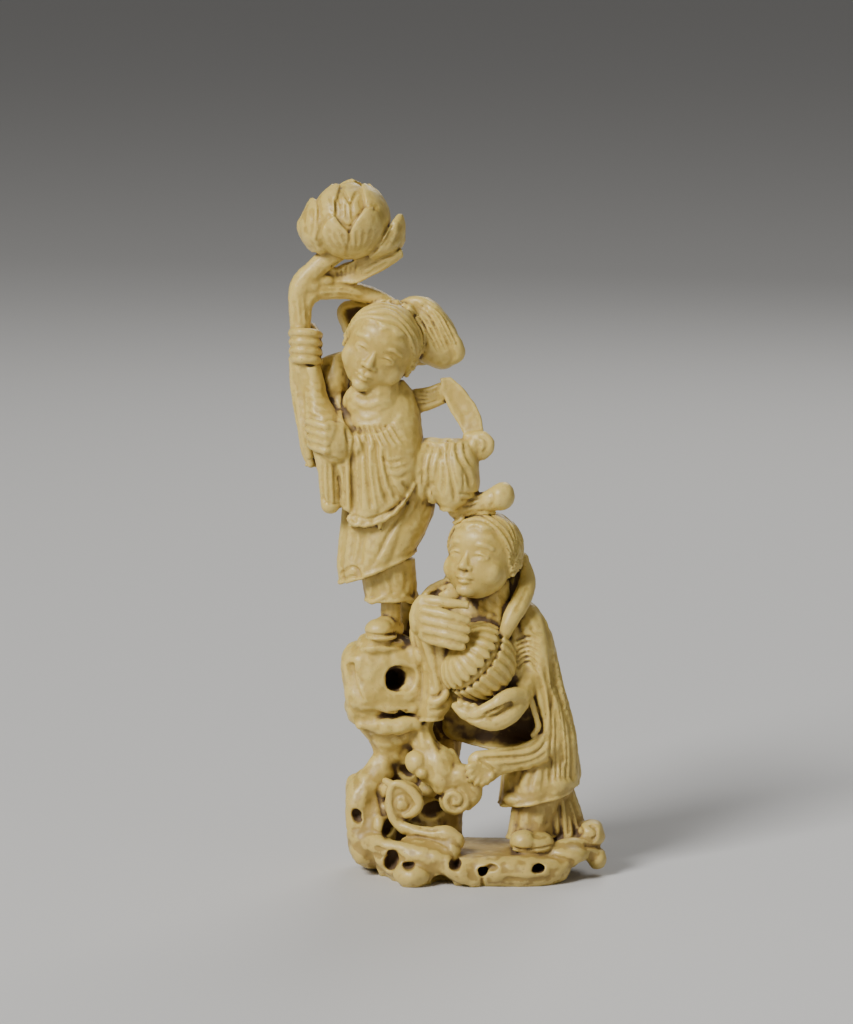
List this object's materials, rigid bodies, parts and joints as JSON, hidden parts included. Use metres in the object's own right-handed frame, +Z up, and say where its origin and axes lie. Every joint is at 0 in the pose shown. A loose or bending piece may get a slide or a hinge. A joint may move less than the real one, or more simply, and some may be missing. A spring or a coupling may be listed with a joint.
{
  "type": "carved ivory figurine",
  "caption": "Carved ivory group on a pierced rock base: a robed figure with a lotus stands on the head of another who holds a ribbed round box.",
  "frame": {"origin": "centre of the bounding box on the plane that the base stands on", "axes": "+Z up, -Y towards the viewer of the carved front, +X to the viewer's right"},
  "size_m": [0.0636, 0.0328, 0.1396],
  "materials": {
    "ivory": "polished, aged cream ivory with darker toning in the carving"
  },
  "bodies": {
    "root": {"figurine": "ivory"}
  },
  "joints": []
}
